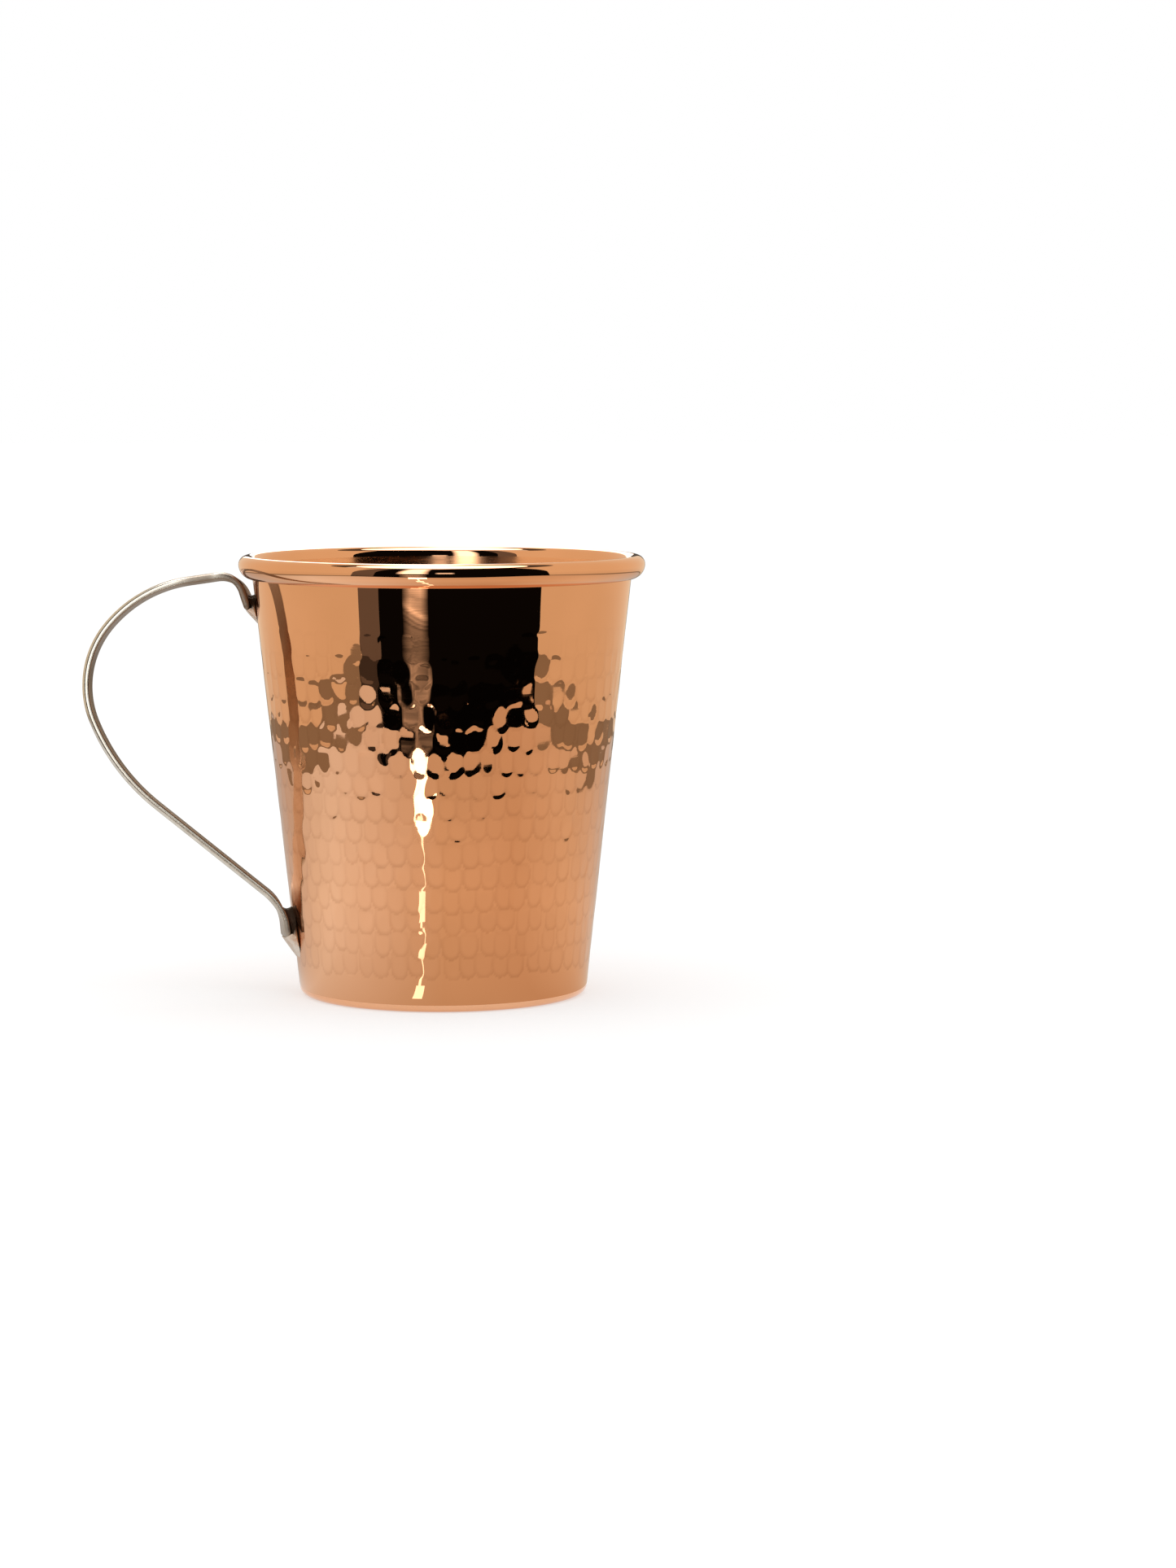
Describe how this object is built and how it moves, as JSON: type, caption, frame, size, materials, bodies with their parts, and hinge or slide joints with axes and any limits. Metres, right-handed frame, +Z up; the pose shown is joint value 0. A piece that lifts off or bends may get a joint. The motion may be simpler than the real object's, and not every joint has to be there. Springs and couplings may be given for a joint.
{
  "type": "handled mug",
  "caption": "Tapered hammered copper drinking mug with a rolled rim, a let-in base and a flat metal strap handle.",
  "frame": {"origin": "on the cup's axis, in the plane of the foot it stands on", "axes": "+Z up along the cup's axis, the handle stands out along -X, and the mug is symmetric about the plane y = 0 apart from the small cant of its hand-set handle"},
  "size_m": [0.1272, 0.092, 0.0998],
  "materials": {
    "wall_copper": null,
    "base_copper": null,
    "base_seam": "dull copper-coloured braze",
    "handle_metal": "satin warm grey",
    "joint_braze": "silvery braze tinged with copper"
  },
  "bodies": {
    "root": {"body_wall": "wall_copper", "base_disc": "base_copper", "base_braze": "base_seam", "handle_strap": "handle_metal", "upper_braze": "joint_braze", "lower_braze": "joint_braze"}
  },
  "joints": []
}
